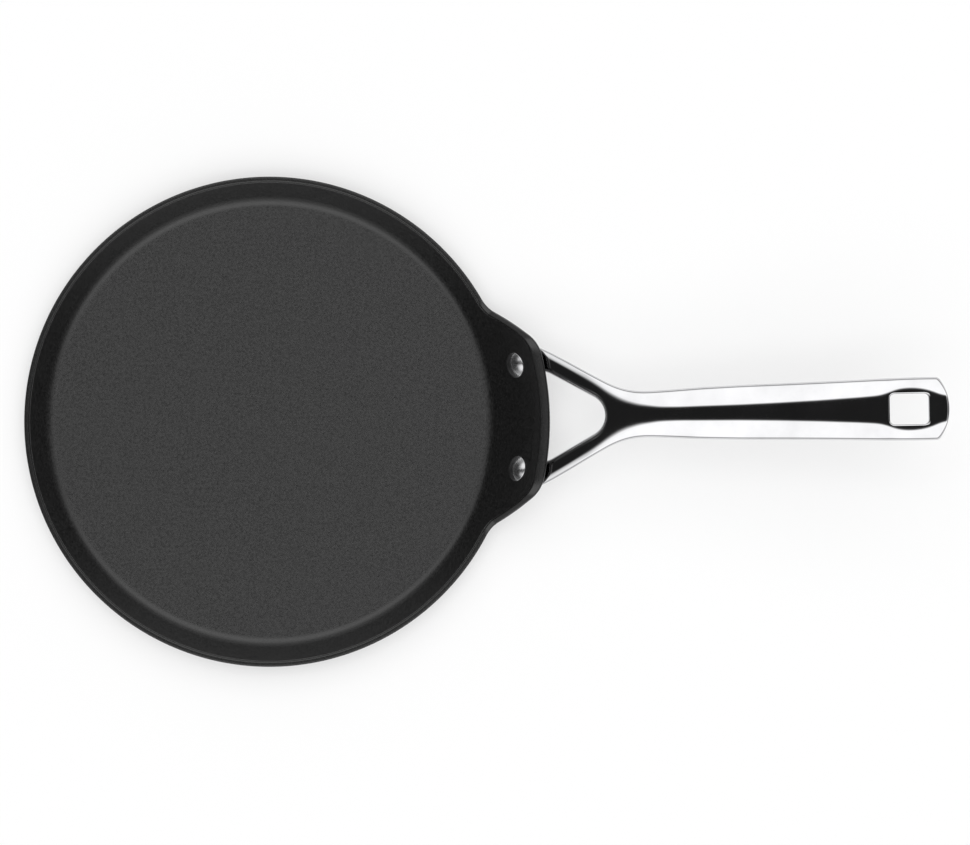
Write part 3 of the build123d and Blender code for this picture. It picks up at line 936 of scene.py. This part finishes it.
# half of the handle, its edges as strips and its top and underside filled, then mirrored
def makeHandle():
    edge, edgeInto = evenly(outerEdge(), handle["boundaryStep"], intoLeft=True)
    hole, holeInto = evenly(holeEdge(), handle["boundaryStep"] * handle["holeStepShare"], intoLeft=False)
    small, large = handle["holeEdgeRound"]
    holeRounds = small + (large - small) * smoothStep(*handle["holeFacing"], holeInto[:, 0])
    strips = [edgeStrip(edge, edgeInto, *edgeSizes(edge, edgeInto)),
              edgeStrip(hole, holeInto, np.full(len(hole), handle["holeInset"]), holeRounds)]
    verts, faces = [], []
    for strip in strips:
        base = len(verts)
        rows, columns = strip.shape[:2]
        verts += [tuple(p) for p in strip.reshape(-1, 3)]
        faces += [tuple(base + i for i in face) for face in gridFaces(rows, columns, closed=False)]
    creases, hollow = flowLines()
    for column, lines, heightAt in ((0, creases, topAt), (-1, hollow, bottomAt)):
        outer, inner = strips[0][:, column], strips[1][:, column]
        loop = np.vstack([outer[:, :2], spine(outer[-1, 0], inner[-1, 0]),
                          inner[::-1, :2], spine(inner[0, 0], outer[0, 0])])
        flat, triangles = fillArea(loop, lines)
        base = len(verts)
        edgeHeights = {(round(x, 3), round(y, 3)): z for x, y, z in np.vstack([outer, inner])}
        for (x, y), z in zip(flat, heightAt(flat[:, 0], flat[:, 1])):
            verts.append((x, y, edgeHeights.get((round(x, 3), round(y, 3)), z)))
        faces += [tuple(base + i for i in face) for face in triangles]
    count = len(verts)
    verts += [(x, -y, z) for x, y, z in verts]
    faces += [tuple(count + i for i in reversed(face)) for face in faces]
    makePiece("handleCasting", verts, faces, handleMaterial, "handle", handle["sharp"])


makeHandle()

# the light's directions are parts of a unit vector: x along the handle, y across it, z up
studio = {
    "floorSize": 60.0, "floorDrop": 0.00002, "floorColour": (0.50, 0.50, 0.50, 1), "floorRough": 0.9,
    "floorCloud": 3.0, "floorCloudShare": 0.995, "floorGlow": 0.43,
    # where along X the floor's colour and glow are painted darker (painted shade), and how dark
    "floorPaintedShade": (-0.8, -0.5), "floorPaintedShadeLevel": 0.12,
    "stripEdge": (0.05, 0.26), "stripEnd": (0.86, 0.96), "stripLight": 0.016,
    "patchMiddle": 0.14, "patchReach": (0.05, 0.16), "patchLight": 0.55,
    "boxFoot": (0.50, 0.64), "boxEnd": (0.35, 0.95), "boxLight": 1.45,
    "roomTurn": (-0.5, 0.5), "panEndLight": 0.05, "gripEndLight": 0.12,
    "sideFrom": (0.5, 0.9), "sideLight": 0.48,
    "horizon": (0.06, 0.09), "horizonEnd": (0.45, 0.95), "horizonLight": 1.0,
    "fillLight": 1.3, "fillAngle": 50.0, "fillHeight": 2.0,
}


# pale floor that also glows a little for the camera and in reflections, with painted
# shade far away on the side away from the handle: its colour and glow are darker there except for the
# camera
def makeFloor():
    half = studio["floorSize"] / 2
    mesh = bpy.data.meshes.new("studioFloor")
    corners = [(-half, -half, 0), (half, -half, 0), (half, half, 0), (-half, half, 0)]
    mesh.from_pydata(corners, [], [(0, 1, 2, 3)])
    floor = bpy.data.objects.new("studioFloor", mesh)
    bpy.context.scene.collection.objects.link(floor)
    floor.location.z = -studio["floorDrop"]
    material, tree, shader, place = newMaterial("paleFloor")
    noise = addNode(tree, "ShaderNodeTexNoise",
                    {"Vector": place, "Scale": studio["floorCloud"], "Detail": 2.0})
    parts = addNode(tree, "ShaderNodeSeparateXYZ", {0: place})
    rays = tree.nodes.new("ShaderNodeLightPath")
    # painted shade: far out on the side away from the handle the floor's colour and glow go dark for all
    # but camera rays, so reflections find it dark
    near = addRange(tree, parts.outputs[0], *studio["floorPaintedShade"], studio["floorPaintedShadeLevel"], 1.0)
    near = addMath(tree, "MAXIMUM", near, rays.outputs["Is Camera Ray"])
    duller = tuple(c * studio["floorCloudShare"] for c in studio["floorColour"][:3]) + (1,)
    pale = addMix(tree, noise.outputs[0], duller, studio["floorColour"])
    tree.links.new(addMix(tree, near, (0, 0, 0, 1), pale), shader.inputs["Base Color"])
    shader.inputs["Roughness"].default_value = studio["floorRough"]
    shader.inputs["Specular IOR Level"].default_value = 0.0
    seen = addMath(tree, "MAXIMUM", rays.outputs["Is Camera Ray"], rays.outputs["Is Glossy Ray"])
    seen = addMath(tree, "MULTIPLY", addMath(tree, "MULTIPLY", seen, studio["floorGlow"]), near)
    glow = addNode(tree, "ShaderNodeEmission", {"Color": (1, 1, 1, 1), "Strength": seen})
    both = addNode(tree, "ShaderNodeAddShader", {0: shader.outputs[0], 1: glow.outputs[0]})
    tree.links.new(both.outputs[0], tree.nodes["Material Output"].inputs[0])
    mesh.materials.append(material)


# light by direction: a room that is dim at the handle's ends and lighter at the sides,
# bright boxes above it, a dark strip overhead with one light patch, and a white horizon
# that fades at both ends
def makeWorld():
    world = bpy.data.worlds.new("studioLight")
    bpy.context.scene.world = world
    world.use_nodes = True
    tree = world.node_tree
    direction = tree.nodes.new("ShaderNodeTexCoord").outputs["Generated"]
    x, y, z = addNode(tree, "ShaderNodeSeparateXYZ", {0: direction}).outputs
    side, end = addMath(tree, "ABSOLUTE", y), addMath(tree, "ABSOLUTE", x)

    def fading(value, key):
        return addMath(tree, "SUBTRACT", 1.0, addSmooth(tree, value, *studio[key]))

    room = addRange(tree, x, *studio["roomTurn"], studio["panEndLight"], studio["gripEndLight"])
    room = addBlend(tree, addSmooth(tree, side, *studio["sideFrom"]), room, studio["sideLight"])

    offStrip = addSmooth(tree, side, *studio["stripEdge"])
    high = addRange(tree, z, *studio["boxFoot"], 0.0, 1.0)
    box = addMath(tree, "MULTIPLY", addMath(tree, "MULTIPLY", offStrip, high), fading(end, "boxEnd"))
    light = addBlend(tree, box, room, studio["boxLight"])

    offPatch = addMath(tree, "ABSOLUTE", addMath(tree, "SUBTRACT", x, studio["patchMiddle"]))
    patch = fading(offPatch, "patchReach")
    strip = addRange(tree, patch, 0.0, 1.0, studio["stripLight"], studio["patchLight"])
    offStrip = addMath(tree, "MAXIMUM", offStrip, addRange(tree, end, *studio["stripEnd"], 0.0, 1.0))
    light = addBlend(tree, offStrip, strip, light)

    low = addMath(tree, "MULTIPLY", addRange(tree, z, *studio["horizon"], 1.0, 0.0),
                  fading(end, "horizonEnd"))
    light = addBlend(tree, low, light, studio["horizonLight"])
    background = tree.nodes["Background"]
    tree.links.new(light, background.inputs["Strength"])
    background.inputs["Color"].default_value = (1, 1, 1, 1)


# soft light from straight above, which polished metal doesn't mirror
def makeFill():
    data = bpy.data.lights.new("softFill", "SUN")
    data.energy = studio["fillLight"]
    data.angle = radians(studio["fillAngle"])
    fill = bpy.data.objects.new("softFill", data)
    bpy.context.scene.collection.objects.link(fill)
    fill.location.z = studio["fillHeight"]
    fill.visible_glossy = False


# looks straight down; right and up shift the picture, in millimetres on the pan
camera = {
    "distance": 2.75, "sensor": 36.0, "clipEnd": 100.0,
    "frameWidth": 486.5, "roll": 1.13, "right": -108.2, "up": 0.38,
}


def makeCamera():
    data = bpy.data.cameras.new("photoCamera")
    data.sensor_width = camera["sensor"]
    data.lens = camera["sensor"] * camera["distance"] / (camera["frameWidth"] * mm)
    data.clip_end = camera["clipEnd"]
    obj = bpy.data.objects.new("photoCamera", data)
    bpy.context.scene.collection.objects.link(obj)
    roll = radians(camera["roll"])
    right, up = Vector((cos(roll), -sin(roll), 0)), Vector((sin(roll), cos(roll), 0))
    obj.location = -(right * camera["right"] + up * camera["up"]) * mm
    obj.location.z = camera["distance"] + pan["rimHeight"] * mm
    obj.rotation_euler = (0, 0, -roll)
    bpy.context.scene.camera = obj


makeFloor()
makeWorld()
makeFill()
makeCamera()
bpy.context.scene.view_settings.view_transform = "Standard"
print("studio made")
